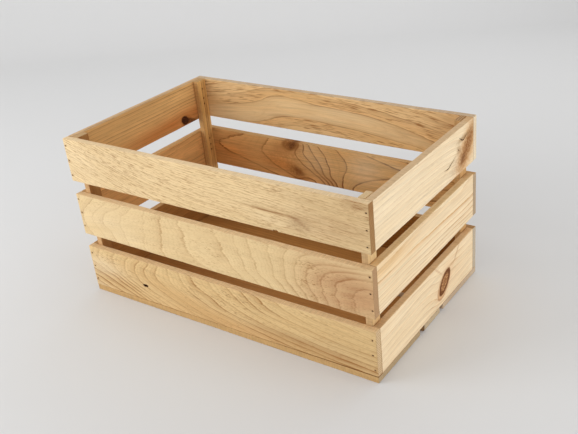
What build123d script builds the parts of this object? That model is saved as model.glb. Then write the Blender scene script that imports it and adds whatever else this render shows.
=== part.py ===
from build123d import *
import os

# Slatted wooden apple crate: twelve wall slats, four corner posts, three floor boards and their brads.
# It stands on its floor boards with the origin under its centre.  X runs along its length, -Y is the
# front and Z is up.  All sizes are in millimetres.

# Driving dimensions
LENGTH = 500.0          # outside, along X
WIDTH = 296.0           # outside, along Y
BOARD_T = 10.0          # thickness of the wall slats and of the posts
SLAT_W = 66.0           # width of the top and middle slats
LOW_SLAT_W = 69.0       # the bottom course is a little wider
SLAT_GAP = 21.0         # finger gap between two courses
POST_W = 20.0           # width of a corner post, along Y
FLOOR_T = 9.0           # thickness of the floor boards
FLOOR_OUTER_W = 113.0   # width of the front and back floor boards
FLOOR_GAP = 9.5         # drainage gap between two floor boards
EDGE_R = 0.5            # rounding of the sawn edges

# Brads, driven just under the surface
SHANK_R = 0.8
HEAD_R = 1.15
HEAD_T = 1.0
POINT_H = 2.0
SET_DEPTH = 1.2         # from the wood's face down to the head
LONG_BRAD = 30.0
SHORT_BRAD = 16.0
BRAD_INSET = 4.5        # from the end of a board to its row of brads
BRAD_PITCH = 22.5       # between the three brads across a slat's end
# Brads of the front wall as they were driven: each from the slat's end, and above the slat's middle
FRONT_LEFT_BRADS = {"top": ((3.2, 22.0), (3.5, -0.5), (2.7, -24.0)),
                    "middle": ((3.0, 24.5), (3.6, 2.5), (3.0, -19.5)),
                    "bottom": ((4.5, 22.5), (4.5, 0.0), (4.5, -22.5))}
FRONT_RIGHT_BRADS = {"top": ((3.5, 21.0), (4.0, -1.5), (4.5, -23.5)),
                     "middle": ((4.0, 23.5), (4.5, 0.0), (3.0, -23.5)),
                     "bottom": ((5.8, 20.5), (6.3, -2.0), (4.4, -24.5))}
# Brads of a post: heights above the middle of the slat behind it
POST_BRADS = {"top": (-7.5, 2.0, 18.5), "middle": (-2.5, 7.0, 17.5), "bottom": (-6.0, 7.0, 16.5)}
FLOOR_EDGE_STEPS = (-225.0, -75.0, 75.0, 225.0)     # brads up into the long walls, places along X
FLOOR_END_STEPS = (52.0, 105.0)         # brads up into the short walls from an outer board, along Y
FLOOR_MIDDLE_STEP = 12.0                # brads in the middle floor board, either side of Y = 0

# Places that follow from them
FLOOR_MIDDLE_W = WIDTH - 2 * (FLOOR_OUTER_W + FLOOR_GAP)
FLOOR_OUTER_Y = (WIDTH - FLOOR_OUTER_W) / 2
LOW_Z = FLOOR_T + LOW_SLAT_W / 2
MIDDLE_Z = FLOOR_T + LOW_SLAT_W + SLAT_GAP + SLAT_W / 2
TOP_Z = MIDDLE_Z + SLAT_W + SLAT_GAP
HEIGHT = TOP_Z + SLAT_W / 2
COURSES = {"bottom": (LOW_Z, LOW_SLAT_W), "middle": (MIDDLE_Z, SLAT_W), "top": (TOP_Z, SLAT_W)}
SHORT_WALL = WIDTH - 2 * BOARD_T
POST_FACE_X = LENGTH / 2 - 2 * BOARD_T
POST_Y = SHORT_WALL / 2 - POST_W / 2
POST_H = HEIGHT - FLOOR_T
END_X = LENGTH / 2 - BRAD_INSET

# Planes on the outer faces, each with its normal pointing out of the wood
FRONT = Plane(origin=(0, -WIDTH / 2, 0), x_dir=(1, 0, 0), z_dir=(0, -1, 0))
BACK = Plane(origin=(0, WIDTH / 2, 0), x_dir=(-1, 0, 0), z_dir=(0, 1, 0))
RIGHT = Plane(origin=(LENGTH / 2, 0, 0), x_dir=(0, 1, 0), z_dir=(1, 0, 0))
LEFT = Plane(origin=(-LENGTH / 2, 0, 0), x_dir=(0, -1, 0), z_dir=(-1, 0, 0))
UNDERSIDE = Plane(origin=(0, 0, 0), x_dir=(1, 0, 0), z_dir=(0, 0, -1))
# Planes on the posts' inner faces, with their normals pointing into the crate
LEFT_POSTS = Plane(origin=(-POST_FACE_X, 0, 0), x_dir=(0, 1, 0), z_dir=(1, 0, 0))
RIGHT_POSTS = Plane(origin=(POST_FACE_X, 0, 0), x_dir=(0, -1, 0), z_dir=(-1, 0, 0))


def write(part, name):
    part.label = name
    export_step(part, f"parts/{name}.step")


def brad_solid(length, top):
    """One round brad that points down from a face at Z = 0, with its upper end at the height top."""
    tip = -SET_DEPTH - length
    neck = -SET_DEPTH - HEAD_T
    with BuildPart() as brad:
        with BuildSketch(Plane.XZ):
            with BuildLine():
                Polyline((0, top), (HEAD_R, top), (HEAD_R, neck), (SHANK_R, neck),
                         (SHANK_R, tip + POINT_H), (0, tip), close=True)
            make_face()
        revolve(axis=Axis.Z)
    return brad.part


def at_each(face, places, solid):
    """Copies of a solid at the given places on one face."""
    with BuildPart(face) as group:
        with Locations(*places):
            add(solid)
    return group.part


def board(face, middle, size, thickness, pockets):
    """A board with its outer face on the given plane, eased along its edges and pierced by brads."""
    with BuildPart() as wood:
        with BuildSketch(face):
            with Locations(middle):
                Rectangle(*size)
        extrude(amount=-thickness)
        fillet(wood.edges(), EDGE_R)
        for pocket in pockets:
            add(pocket, mode=Mode.SUBTRACT)
    return wood.part


def front_places():
    """Three brads through each end of every slat of the front wall, unevenly driven."""
    places = []
    for course, (z, _) in COURSES.items():
        places += [(inset - LENGTH / 2, z + step) for inset, step in FRONT_LEFT_BRADS[course]]
        places += [(LENGTH / 2 - inset, z + step) for inset, step in FRONT_RIGHT_BRADS[course]]
    return places


def back_places():
    """Three brads through each end of every slat of the back wall, in even rows."""
    return [(x, z + step) for z, _ in COURSES.values() for x in (-END_X, END_X)
            for step in (-BRAD_PITCH, 0, BRAD_PITCH)]


def post_places():
    """Three brads through each post into every short slat."""
    return [(y, z + step) for course, (z, _) in COURSES.items() for y in (-POST_Y, POST_Y)
            for step in POST_BRADS[course]]


def floor_places():
    """Brads up through the floor boards, into the long walls and into the short ones."""
    places = [(x, side * (WIDTH - BOARD_T) / 2) for side in (-1, 1) for x in FLOOR_EDGE_STEPS]
    for x in (-END_X, END_X):
        for y in (*FLOOR_END_STEPS, FLOOR_MIDDLE_STEP):
            places += [(x, -y), (x, y)]
    return places


BRADS = {
    "front_wall_brads": (FRONT, front_places(), LONG_BRAD),
    "back_wall_brads": (BACK, back_places(), LONG_BRAD),
    "left_post_brads": (LEFT_POSTS, post_places(), SHORT_BRAD),
    "right_post_brads": (RIGHT_POSTS, post_places(), SHORT_BRAD),
    "floor_brads": (UNDERSIDE, floor_places(), LONG_BRAD),
}

os.makedirs("parts", exist_ok=True)

# A brad's pocket has the brad's own shape, carried on up to the wood's face
pockets = {}
for name, (face, places, length) in BRADS.items():
    write(at_each(face, places, brad_solid(length, top=-SET_DEPTH)), name)
    pockets[name] = at_each(face, places, brad_solid(length, top=0))

# The long walls overlap the ends of the short ones
for wall, face in (("front", FRONT), ("back", BACK)):
    for course, (z, width) in COURSES.items():
        cuts = [pockets[f"{wall}_wall_brads"]]
        if course == "bottom":
            cuts.append(pockets["floor_brads"])
        write(board(face, (0, z), (LENGTH, width), BOARD_T, cuts), f"{wall}_slat_{course}")

for wall, face in (("left", LEFT), ("right", RIGHT)):
    for course, (z, width) in COURSES.items():
        cuts = [pockets[key] for key in ("front_wall_brads", "back_wall_brads", f"{wall}_post_brads")]
        if course == "bottom":
            cuts.append(pockets["floor_brads"])
        write(board(face, (0, z), (SHORT_WALL, width), BOARD_T, cuts), f"{wall}_slat_{course}")

# Corner posts stand on the floor boards, inside the slats
for wall, face in (("left", LEFT_POSTS), ("right", RIGHT_POSTS)):
    for end, y in (("front", -POST_Y), ("back", POST_Y)):
        middle = (y * face.x_dir.Y, FLOOR_T + POST_H / 2)
        post = board(face, middle, (POST_W, POST_H), BOARD_T, [pockets[f"{wall}_post_brads"]])
        write(post, f"post_{end}_{wall}")

# Floor boards run lengthwise under the walls.  The underside's own Y runs the other way
for place, y, width in (("front", -FLOOR_OUTER_Y, FLOOR_OUTER_W), ("middle", 0, FLOOR_MIDDLE_W),
                        ("back", FLOOR_OUTER_Y, FLOOR_OUTER_W)):
    floor = board(UNDERSIDE, (0, -y), (LENGTH, width), FLOOR_T, [pockets["floor_brads"]])
    write(floor, f"floor_board_{place}")
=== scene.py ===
"""The looks of the slatted apple crate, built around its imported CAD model.

Every board is a piece of its own: a planed plank with eased, slightly worn edges, real nail holes,
cracks and knot holes, whose grain is a field of growth rings that runs through the whole board.  The
brads are the CAD's own.  Positions on a board are (along, across) in millimetres of the row frame,
where along is the way the board's fibres run.
"""

import math

import bmesh
import bpy
import numpy as np
from mathutils import Matrix, Vector


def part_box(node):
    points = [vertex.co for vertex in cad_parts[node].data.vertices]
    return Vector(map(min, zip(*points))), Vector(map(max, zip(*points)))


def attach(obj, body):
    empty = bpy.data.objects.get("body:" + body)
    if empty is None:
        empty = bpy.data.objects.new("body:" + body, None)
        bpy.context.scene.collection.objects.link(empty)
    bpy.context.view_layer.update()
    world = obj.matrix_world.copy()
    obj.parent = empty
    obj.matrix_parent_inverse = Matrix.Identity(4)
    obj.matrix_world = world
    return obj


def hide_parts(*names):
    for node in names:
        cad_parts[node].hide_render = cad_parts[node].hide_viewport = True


MM = 0.001
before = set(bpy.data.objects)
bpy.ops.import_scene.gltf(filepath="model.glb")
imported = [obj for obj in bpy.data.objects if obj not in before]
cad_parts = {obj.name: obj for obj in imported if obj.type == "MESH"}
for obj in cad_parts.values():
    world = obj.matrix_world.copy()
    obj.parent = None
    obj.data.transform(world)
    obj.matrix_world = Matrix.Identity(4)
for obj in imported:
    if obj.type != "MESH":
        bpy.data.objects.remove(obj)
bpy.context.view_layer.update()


# ------------------------------------------------------------------ board geometry

EDGE_R = 0.7            # rounding of a board's arrises
GRID_ALONG = 3.0        # spacing of a board's mesh lines
GRID_ACROSS = 2.0
HOLE_R = 1.1            # a brad's hole, down to the brad's head
HOLE_DEPTH = 2.2
PROUD = 0.6             # how far a cutter stands out from the face that it cuts
DIRT_R = 1.7            # dirt round a brad's hole
HEAD_DEPTH = 2.0        # a brad with its head in a face has points above this depth
BRAD_SPREAD = 4.0       # points nearer than this belong to one brad
BROAD_WEAR = 0.45       # how far the arrises are worn down over long stretches
NICKS = 0.7             # and in short places
WANDER = 0.18           # how far a long edge wanders


class Board:
    """A plank that replaces one CAD node: its axes, its face and the way between its own and row places."""

    def __init__(self, node, along, across, face):
        self.node = node
        self.low, self.high = (np.array(corner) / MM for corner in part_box(node))
        self.along, self.across = "xyz".index(along), "xyz".index(across)
        self.thick = 3 - self.along - self.across
        self.sign = 1 if face > 0 else -1
        self.face = self.high[self.thick] if face > 0 else self.low[self.thick]
        seed = sum(ord(letter) * 7 ** (i % 5) for i, letter in enumerate(node))
        self.rng = np.random.default_rng(seed)

    def trim(self, ends, hidden):
        """Draws the ends in, and the side away from the face, to leave fine joints round the board."""
        self.low[self.along] += ends
        self.high[self.along] -= ends
        if self.sign > 0:
            self.low[self.thick] += hidden
        else:
            self.high[self.thick] -= hidden

    def to_row(self, places):
        """Row-frame points from places (along, across, depth below the face)."""
        places = np.atleast_2d(np.asarray(places, float))
        points = np.empty((len(places), 3))
        points[:, self.along] = places[:, 0]
        points[:, self.across] = places[:, 1]
        points[:, self.thick] = self.face - self.sign * places[:, 2]
        return points

    def from_row(self, points):
        """Places (along, across, depth below the face) of row-frame points."""
        depth = self.sign * (self.face - points[:, self.thick])
        return np.stack([points[:, self.along], points[:, self.across], depth], 1)


def grid_lines(low, high, step):
    """Mesh lines along one axis: close together within the rounded edges, and even between them."""
    rounding = EDGE_R * np.array([0.0, 0.3, 0.65])
    count = max(1, round((high - low - 2 * EDGE_R) / step))
    middle = np.linspace(low + EDGE_R, high - EDGE_R, count + 1)
    return np.concatenate([low + rounding, middle, high - rounding[::-1]])


def surface_grid(lines):
    """Points and quads of the surface of a box that is cut along the given lines on each axis."""
    on_surface = np.zeros([len(row) for row in lines], bool)
    on_surface[[0, -1]] = True
    on_surface[:, [0, -1]] = True
    on_surface[:, :, [0, -1]] = True
    number = np.full(on_surface.shape, -1)
    number[on_surface] = np.arange(on_surface.sum())
    points = np.stack(np.meshgrid(*lines, indexing="ij"), -1)[on_surface]
    quads = []
    for axis in range(3):
        for end in (0, -1):
            sheet = np.take(number, end, axis=axis)
            corners = (sheet[:-1, :-1], sheet[1:, :-1], sheet[1:, 1:], sheet[:-1, 1:])
            side = np.stack(corners, -1).reshape(-1, 4)
            quads.append(side[:, ::-1] if (end == 0) != (axis == 1) else side)
    return points, np.concatenate(quads)


def waves(positions, rng, longest, count=7):
    """Smooth noise between about -1 and 1: ever shorter and weaker sines of random direction and phase."""
    total = np.zeros(len(positions))
    for i in range(count):
        direction = rng.normal(size=positions.shape[1])
        direction /= np.linalg.norm(direction)
        length = longest * 0.62 ** i
        total += np.sin(positions @ direction * 2 * math.pi / length + rng.uniform(0, 7)) * 0.8 ** i
    return total / 2.2


def plank_points(board, lower, upper):
    """The surface of a board with rounded arrises that are worn unevenly, and slightly wavy edges.

    lower, upper: how far the two long edges stand out, each as (along, millimetres) stops.
    """
    steps = np.full(3, GRID_ACROSS)
    steps[board.along] = GRID_ALONG
    lines = [grid_lines(*ends) for ends in zip(board.low, board.high, steps)]
    points, quads = surface_grid(lines)
    core = np.clip(points, board.low + EDGE_R, board.high - EDGE_R)
    out = points - core
    reach = np.linalg.norm(out, axis=1)
    normal = out / reach[:, None]
    rounded = core + normal * EDGE_R
    on_arris = (np.abs(normal) > 0.05).sum(1) > 1
    wear = np.clip(waves(points, board.rng, 60.0), 0, 1) ** 2 * BROAD_WEAR
    wear += np.clip(waves(points, board.rng, 9.0) - 0.55, 0, 1) * NICKS
    rounded -= normal * (wear * on_arris)[:, None]
    # The long edges wander a little, as they do after the rip saw
    middle = (board.low[board.across] + board.high[board.across]) / 2
    half = (board.high[board.across] - board.low[board.across]) / 2
    share = (points[:, board.across] - middle) / half
    run = points[:, [board.along]]
    wander = np.where(share > 0, waves(run, board.rng, 330.0, 4), waves(run, board.rng, 270.0, 4))
    rounded[:, board.across] += (wander - 1) * WANDER * share
    grow = np.where(share > 0, np.interp(run[:, 0], *zip(*upper)), np.interp(run[:, 0], *zip(*lower)))
    rounded[:, board.across] += grow * share
    return rounded, quads


def prism(mesh, board, outline, depth, taper=0.85):
    """Adds a closed cutter to a bmesh: an outline of (along, across) places, sunk into the face."""
    outline = np.asarray(outline, float)
    centre = outline.mean(0)
    rings = []
    brim = min(0.9, depth * 0.4)
    levels = ((-PROUD, 1.06), (0.0, 1.0), (brim, 0.99), (depth * 0.8, taper), (depth, taper * 0.6))
    for level, size in levels:
        places = np.column_stack([centre + (outline - centre) * size, np.full(len(outline), level)])
        rings.append([mesh.verts.new(p * MM) for p in board.to_row(places)])
    for upper, lower in zip(rings, rings[1:]):
        for i in range(len(outline)):
            j = (i + 1) % len(outline)
            mesh.faces.new((upper[i], upper[j], lower[j], lower[i]))
    mesh.faces.new(rings[0][::-1])
    mesh.faces.new(rings[-1])


def ellipse(centre, radii, angle=0.0, points=12, rough=0.0, rng=None):
    """Outline of an ellipse, turned by an angle in degrees, with its radius roughened."""
    turn = math.radians(angle)
    outline = []
    for i in range(points):
        t = 2 * math.pi * i / points
        size = 1 + (rng.uniform(-rough, rough) if rough else 0)
        u, v = radii[0] * math.cos(t) * size, radii[1] * math.sin(t) * size
        outline.append((centre[0] + u * math.cos(turn) - v * math.sin(turn),
                        centre[1] + u * math.sin(turn) + v * math.cos(turn)))
    return outline


def crack(path, width):
    """Outline of a crack along a path: widest in the middle, and pointed at both ends."""
    path = np.asarray(path, float)
    step = np.gradient(path, axis=0)
    side = np.stack([-step[:, 1], step[:, 0]], 1) / np.linalg.norm(step, axis=1)[:, None]
    swell = np.sin(np.linspace(0.08, math.pi - 0.08, len(path)))[:, None] * width / 2
    return np.concatenate([path + side * swell, (path - side * swell)[::-1]])


def brad_places(board, brad_node):
    """Centres (along, across) of the brads of a CAD node whose heads are in this board's face."""
    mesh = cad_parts[brad_node].data
    points = np.empty(len(mesh.vertices) * 3)
    mesh.vertices.foreach_get("co", points)
    places = board.from_row(points.reshape(-1, 3) / MM)
    inside = (places[:, 2] > 0) & (places[:, 2] < HEAD_DEPTH)
    for axis, column in ((board.along, 0), (board.across, 1)):
        inside &= (places[:, column] > board.low[axis]) & (places[:, column] < board.high[axis])
    groups = []
    for place in places[inside, :2]:
        for group in groups:
            if np.hypot(*(group[0] - place)) < BRAD_SPREAD:
                group.append(place)
                break
        else:
            groups.append([place])
    return [(np.min(group, 0) + np.max(group, 0)) / 2 for group in groups]


def cut(target, cutter_mesh):
    """Takes a bmesh of closed cutters out of an object, for good."""
    bmesh.ops.recalc_face_normals(cutter_mesh, faces=cutter_mesh.faces)
    data = bpy.data.meshes.new("cutter")
    cutter_mesh.to_mesh(data)
    cutter = bpy.data.objects.new("cutter", data)
    bpy.context.scene.collection.objects.link(cutter)
    modifier = target.modifiers.new("cut", "BOOLEAN")
    modifier.operation = "DIFFERENCE"
    modifier.solver = "MANIFOLD"
    modifier.object = cutter
    result = target.evaluated_get(bpy.context.evaluated_depsgraph_get())
    result = bpy.data.meshes.new_from_object(result)
    target.modifiers.clear()
    target.data = result
    bpy.data.objects.remove(cutter)


# ------------------------------------------------------------------ growth rings

PLATE_UNIT = 50.0       # millimetres that count as 1 in a thin plate's sums
BEND_REACH = 14.0       # how soon the fibres' bend round a knot dies away, in squared radii


def thin_plate(lines, stretch, soft=0.02):
    """A smooth field that takes each ring's number along that ring's line.

    lines: {ring number: [(along, across), ...]}.  Distances along the board count for stretch times
    their length, because grain changes slowly that way.
    """
    scale = np.array([stretch, 1.0]) / PLATE_UNIT
    knots = np.array([p for places in lines.values() for p in places], float) * scale
    values = np.array([ring for ring, places in lines.items() for _ in places], float)

    def kernel(a, b):
        square = ((a[:, None] - b[None]) ** 2).sum(-1)
        return square * np.log(square + 1e-9)

    count = len(knots)
    system = np.zeros((count + 3, count + 3))
    system[:count, :count] = kernel(knots, knots) + soft * np.eye(count)
    system[:count, count:] = np.column_stack([np.ones(count), knots])
    system[count:, :count] = system[:count, count:].T
    weights = np.linalg.solve(system, np.concatenate([values, np.zeros(3)]))

    def field(places):
        q = places * scale
        return kernel(q, knots) @ weights[:count] + weights[count] + q @ weights[count + 1:]

    return field


def log_rings(pith, tilt, spacing):
    """Rings round a straight pith at (across, depth), that drifts by tilt per millimetre of length."""
    def field(places, depth):
        across = places[:, 1] - pith[0] - tilt[0] * places[:, 0]
        below = depth - pith[1] - tilt[1] * places[:, 0]
        return np.hypot(across, below) / spacing

    return field


def drawn_rings(lines, stretch=0.5, per_depth=0.12, lean=(1.5, 0.3)):
    """Rings through lines on the face, that lean as they go down into the board."""
    plate = thin_plate(lines, stretch)

    def field(places, depth):
        return plate(places + depth[:, None] * np.array(lean)) + per_depth * depth

    return field


def turned(places, centre, size, angle):
    """Places measured along and across an ellipse, with 1 at its edge."""
    turn = math.radians(angle)
    du, dv = places[:, 0] - centre[0], places[:, 1] - centre[1]
    return ((du * math.cos(turn) + dv * math.sin(turn)) / size[0],
            (dv * math.cos(turn) - du * math.sin(turn)) / size[1])


def flow_round(places, knots):
    """Where the fibres at each place would be across the board, had they no knots to pass."""
    across = places[:, 1].copy()
    for centre, radii, angle in knots:
        u, v = turned(places, centre, radii, angle)
        square = u * u + v * v
        across -= (places[:, 1] - centre[1]) / (1 + square) * np.exp(-square / BEND_REACH)
    return across


# ------------------------------------------------------------------ shader values

class Value:
    """A number, vector or colour that a material works out at each point of a surface."""

    def __init__(self, socket):
        self.socket = socket
        self.tree = socket.id_data

    def math(self, operation, *others, clamp=False):
        return make(self.tree, "Math", (self, *others), operation=operation, use_clamp=clamp)

    def __add__(self, other):
        return self.math("ADD", other)

    def __sub__(self, other):
        return self.math("SUBTRACT", other)

    def __rsub__(self, other):
        return make(self.tree, "Math", (other, self), operation="SUBTRACT")

    def __mul__(self, other):
        return self.math("MULTIPLY", other)

    def __truediv__(self, other):
        return self.math("DIVIDE", other)

    def fract(self):
        return self.math("FRACT")

    def vector(self, operation, other):
        return make(self.tree, "VectorMath", (self, other), operation=operation)

    def dot(self, other):
        return make(self.tree, "VectorMath", (self, other), "Value", operation="DOT_PRODUCT")

    def parts(self):
        """The three numbers of a vector."""
        node = make(self.tree, "SeparateXYZ", (self,)).socket.node
        return [Value(socket) for socket in node.outputs]

    def remap(self, start, end, first, last, kind="LINEAR"):
        """First at the start, last at the end, and held beyond them."""
        return make(self.tree, "MapRange", (self, start, end, first, last), interpolation_type=kind)

    def ramp(self, *stops):
        """A grey that follows stops of (place, brightness)."""
        grey = make(self.tree, "ValToRGB", (self,))
        elements = grey.socket.node.color_ramp.elements
        while len(elements) < len(stops):
            elements.new(0.5)
        for element, (place, brightness) in zip(elements, stops):
            element.position = place
            element.color = (brightness, brightness, brightness, 1)
        return grey

    def noise(self, sizes, detail, rough, shift=0.0):
        """Noise at these places, whose features are about the given sizes in millimetres."""
        scaled = self.vector("MULTIPLY", tuple(1 / size for size in sizes))
        moved = scaled.vector("ADD", (shift, shift * 1.7, shift * 0.6))
        settings = {"Vector": moved, "Scale": 1.0, "Detail": detail, "Roughness": rough}
        return make(self.tree, "TexNoise", settings)


def make(tree, kind, inputs=(), output=0, **settings):
    """One output of a new shader node, with its settings made and its inputs set or linked."""
    node = tree.nodes.new("ShaderNode" + kind)
    for key, value in settings.items():
        setattr(node, key, value)
    for key, value in inputs.items() if isinstance(inputs, dict) else enumerate(inputs):
        if isinstance(value, Value):
            tree.links.new(value.socket, node.inputs[key])
        else:
            node.inputs[key].default_value = value
    return Value(node.outputs[output])


def blend(factor, a, b, kind="MIX"):
    """Two colours mixed."""
    tree = next(value.tree for value in (factor, a, b) if isinstance(value, Value))
    return make(tree, "Mix", {0: factor, 6: a, 7: b}, 2, data_type="RGBA", blend_type=kind)


def colour(red, green, blue):
    """A colour given as it looks on a screen, 0 to 255, in linear light."""
    linear = [(v / 255 / 12.92) if v < 10.3 else ((v / 255 + 0.055) / 1.055) ** 2.4
              for v in (red, green, blue)]
    return (*linear, 1.0)


def new_material(name):
    """A material, and its node tree with nothing in it."""
    material = bpy.data.materials.new(name)
    material.use_nodes = True
    material.node_tree.nodes.clear()
    return material, material.node_tree


def set_surface(tree, inputs):
    """Ends a material with a shader that has the given inputs."""
    output = tree.nodes.new("ShaderNodeOutputMaterial")
    tree.links.new(make(tree, "BsdfPrincipled", inputs).socket, output.inputs["Surface"])


# ------------------------------------------------------------------ pine

FADED = colour(244, 226, 192)       # wood bleached by light
PIT_PAINTED_SHADE = colour(74, 36, 8)             # painted shade inside nail holes, cracks and knot holes
DIRT = colour(96, 62, 34)           # what the pores of the end grain hold


def spot(place, mark):
    """1 within an elliptic mark on the board's face and 0 outside, with a soft and wobbly edge.

    Also gives the distance from the mark's centre, 1 at the ellipse.
    """
    moved = place.vector("SUBTRACT", (*mark["at"], 0))
    sway = make(place.tree, "TexNoise", {"Vector": moved, "Scale": 0.16, "Detail": 3.0}, "Color")
    sway = sway.vector("SUBTRACT", (0.5, 0.5, 0.5)).vector("MULTIPLY", (mark["wobble"], mark["wobble"], 0))
    moved = moved.vector("ADD", sway)
    turn = math.radians(mark["angle"])
    length, width = mark["size"]
    u = moved.dot((math.cos(turn) / length, math.sin(turn) / length, 0))
    v = moved.dot((-math.sin(turn) / width, math.cos(turn) / width, 0))
    distance = (u * u + v * v).math("SQRT")
    return distance.remap(1 + mark["edge"], 1 - mark["edge"], 0.0, 1.0, "SMOOTHSTEP"), distance


def marked(style, place, fine, shade):
    """The wood's colour under its knots, stains and smears, one after the other, and the knots' areas."""
    knots = []
    for mark in style["spots"]:
        inside, distance = spot(place, mark)
        amount = inside * mark["amount"]
        stain = mark["shade"]
        if mark["rings"]:
            turns = (distance * mark["rings"] + fine * 0.8).fract()
            stain = blend(turns.ramp((0.0, 0.15), (0.5, 0.2), (0.85, 1.0), (1.0, 0.3)), stain, mark["dark"])
            mottle = place.noise((2.2, 2.2, 2.2), 3.0, 0.65, style["shift"] + 41)
            stain = blend(mottle.ramp((0.44, 0.0), (0.56, 0.9)), stain, mark["dark"])
            ragged = mottle * 0.5 + distance
            stain = blend(ragged.ramp((0.84, 0.0), (1.0, 0.85), (1.1, 1.0)), stain, mark["rim"])
            knots.append(amount)
        elif mark["mottled"]:
            lumps = place.noise((4.0, 4.0, 4.0), 4.0, 0.7, style["shift"] + 51)
            amount *= lumps.ramp((0.40, 1 - mark["mottled"]), (0.60, 1.0))
        shade = blend(amount, shade, stain)
    return shade, knots


def late_wood(style, grain, wavy, per_mm, bold):
    """How much late wood shows, and the fine lines within each ring.

    Pale early wood darkens to a line of late wood, and some years are stronger than others.
    """
    share, thick = style["line"], style["thick"]
    season = wavy.fract()
    band = season.ramp((0.0, 0.08), (0.04, 0.0), (1 - 2.4 * share, 0.04), (1 - share, 0.30), (0.96, 0.55),
                       (1.0, 0.08))
    before = ((1.0 - season) / per_mm).remap(0.0, thick, 1.0, 0.0, "SMOOTHSTEP")
    after = (season / per_mm).remap(0.0, thick * 0.45, 1.0, 0.0, "SMOOTHSTEP")
    late = (band * style["band"]).math("MAXIMUM", before.math("MAXIMUM", after))
    year = wavy.math("FLOOR") + (17.3 + style["shift"])
    luck = make(wavy.tree, "TexWhiteNoise", {"W": year}, "Value", noise_dimensions="1D")
    patch = grain.noise((34, 9, 9), 2.0, 0.6, style["shift"] + 8).ramp((0.3, 0.5), (0.6, 1.0))
    strength = (luck * (1 - style["even"]) + style["even"]) * patch + bold
    rows = (wavy * style["minor"]).fract().ramp((0.0, 0.0), (0.55, 0.1), (0.9, 1.0), (1.0, 0.0))
    late = (late * strength * style["contrast"]).math("ADD", rows * style["minor_strength"], clamp=True)
    return late, rows


def wood_colour(style, grain, late, tone, fade, dusk):
    """Early and late wood, with heartwood, bleached patches, dark patches of dirt and, in places, of
    painted shade, and blotches.
    """
    shift = style["shift"]
    shade = blend(late, style["early"], style["late"])
    tint = blend(late, style["warm"], style.get("warm_late", style["late"]))
    shade = blend(fade, blend(tone, shade, tint), FADED)
    uneven = grain.noise((26, 6, 6), 3.0, 0.6, shift + 14).ramp((0.3, 0.55), (0.65, 1.0))
    shade = blend(dusk * uneven, shade, style["dusk"])
    blotch = grain.noise((140, 30, 30), 3.0, 0.55, shift + 20)
    return blend(blotch.ramp((0.36, 0.0), (0.66, 0.55)), shade, style["blotch"])


def fleck_amount(style, grain, rows, share):
    """Short dark ticks along the fibres, in drifts."""
    tick = grain.noise(style["tick"], 1.0, 0.4, style["shift"] + 60)
    drift = grain.noise((38, 8, 8), 2.0, 0.6, style["shift"] + 72) - 0.5
    level = tick + drift * style["drift"] + rows * style["fleck_rows"]
    low = style["fleck_level"]
    return level.ramp((low, 0.0), (low + 0.10, 0.8), (low + 0.2, 1.0)).math("MULTIPLY", share, clamp=True)


def unshaded_outer_faces(style, place, shade):
    """The wood's colour, scaled on the faces turned away from the inside so that their early wood is plain
    pine; the inner faces keep their colours, which on the low boards hold painted shade.
    """
    away = place.parts()[2].remap(4.0, 6.0, 0.0, 1.0)
    gain = tuple(out / within for out, within in zip(style["outside"], style["early"]))
    return blend(away, shade, blend(1.0, shade, gain, "MULTIPLY"))


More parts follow.
